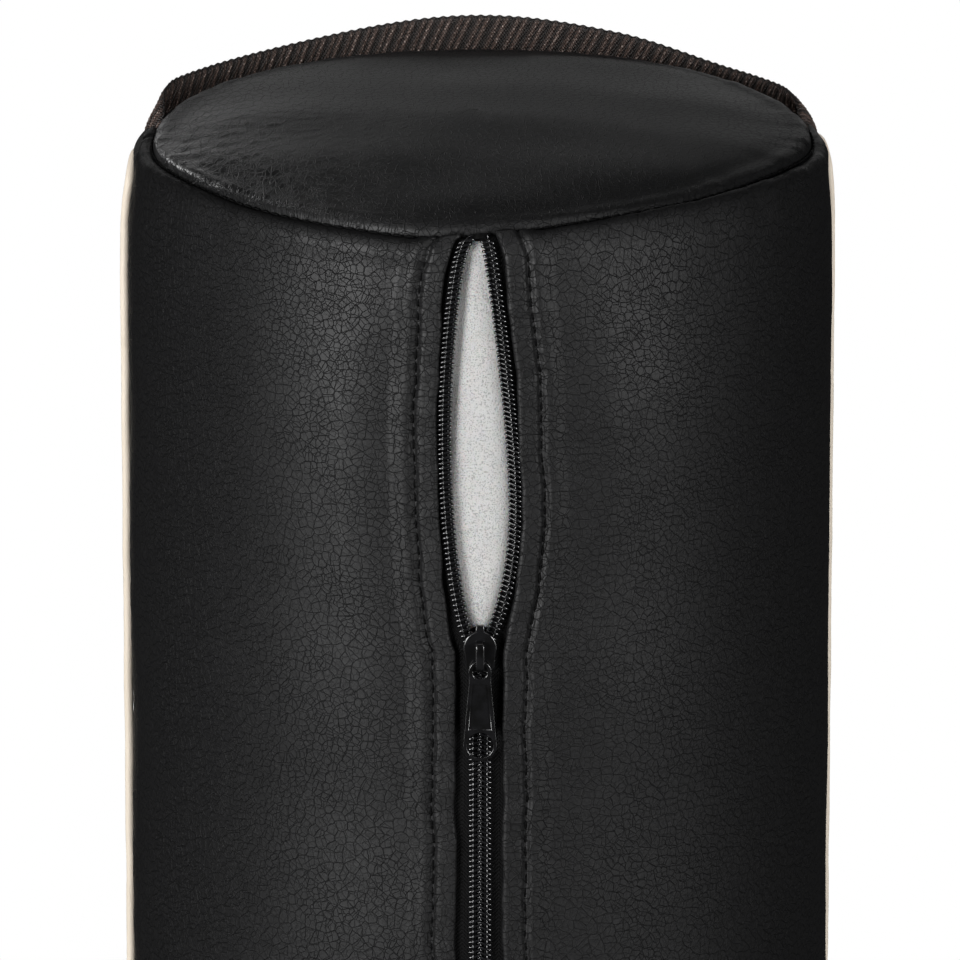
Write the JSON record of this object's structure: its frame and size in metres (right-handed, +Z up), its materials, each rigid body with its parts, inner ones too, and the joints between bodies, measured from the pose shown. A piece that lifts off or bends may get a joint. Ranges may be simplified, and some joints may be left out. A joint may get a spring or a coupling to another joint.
{
  "type": "bolster pillow",
  "caption": "Full-round massage bolster: a foam cylinder in a black faux leather cover with a zip down the front, cream piping and a webbing carry strap.",
  "frame": {"origin": "centre of the bottom end's resting face", "axes": "+Z up along the bolster's axis, the zip faces -Y, and +X is to the right as the zip is looked at"},
  "size_m": [0.2088, 0.21, 0.662],
  "materials": {
    "faux_leather": "pebbled, semi-matt",
    "foam": "fine open cells",
    "piping": "smooth, semi-matt",
    "cord": "twisted cotton",
    "zip_tape": "woven",
    "zip_coil": "glossy nylon",
    "thread": "twisted thread",
    "webbing": "ribbed weave",
    "slider_metal": "gloss black enamel"
  },
  "bodies": {
    "cover": {"foam_core": "foam", "front_panel_left": "faux_leather", "front_panel_right": "faux_leather", "rear_panel": "faux_leather", "top_cap": "faux_leather", "bottom_cap": "faux_leather", "piping_left": "piping", "piping_right": "piping", "piping_cord_left": "cord", "piping_cord_right": "cord", "zip_tape_left": "zip_tape", "zip_tape_right": "zip_tape", "zip_top_stop": "thread", "zip_bottom_stop": "thread", "topstitch_left": "thread", "topstitch_right": "thread", "top_seam_thread": "thread", "bottom_seam_thread": "thread", "strap_tail_left": "webbing", "strap_tail_right": "webbing"},
    "lip_left": {"zip_coil_left": "zip_coil", "coil_cord_left": "zip_tape", "coil_stitch_left": "thread"},
    "lip_right": {"zip_coil_right": "zip_coil", "coil_cord_right": "zip_tape", "coil_stitch_right": "thread"},
    "slider": {"slider_body": "slider_metal", "slider_crown": "slider_metal"},
    "lock": {"slider_pawl": "slider_metal"},
    "pull": {"pull_tab": "slider_metal"},
    "handle": {"handle_strap": "webbing"}
  },
  "joints": [
    {"name": "zip_slide", "type": "slide", "parent": "cover", "child": "slider", "axis": [0, 0, 1], "range_m": [0, 0.1]},
    {"name": "lip_left_turn", "type": "hinge", "parent": "cover", "child": "lip_left", "pos_m": [0, 0, 0.5325], "axis": [0, 0, 1], "range_deg": [0, 4.8], "deforming": ["zip_coil_left", "coil_cord_left", "coil_stitch_left"]},
    {"name": "lip_right_turn", "type": "hinge", "parent": "cover", "child": "lip_right", "pos_m": [0, 0, 0.5325], "axis": [0, 0, 1], "range_deg": [-4.8, 0], "deforming": ["zip_coil_right", "coil_cord_right", "coil_stitch_right"]},
    {"name": "pull_swing", "type": "hinge", "parent": "slider", "child": "pull", "pos_m": [0, -0.1034, 0.52955], "axis": [-1, 0, 0], "range_deg": [0, 135]},
    {"name": "lock_lift", "type": "slide", "parent": "slider", "child": "lock", "axis": [0, -1, 0], "range_m": [0, 0.0005]},
    {"name": "handle_swing", "type": "hinge", "parent": "cover", "child": "handle", "pos_m": [0, 0.012, 0.6565], "axis": [1, 0, 0], "range_deg": [0, 150]}
  ],
  "couplings": [
    {"joint": "lip_left_turn", "follows": "zip_slide", "rad_per_m": 0.832},
    {"joint": "lip_right_turn", "follows": "zip_slide", "rad_per_m": -0.832},
    {"joint": "lock_lift", "follows": "pull_swing", "m_per_rad": 0.0002}
  ]
}
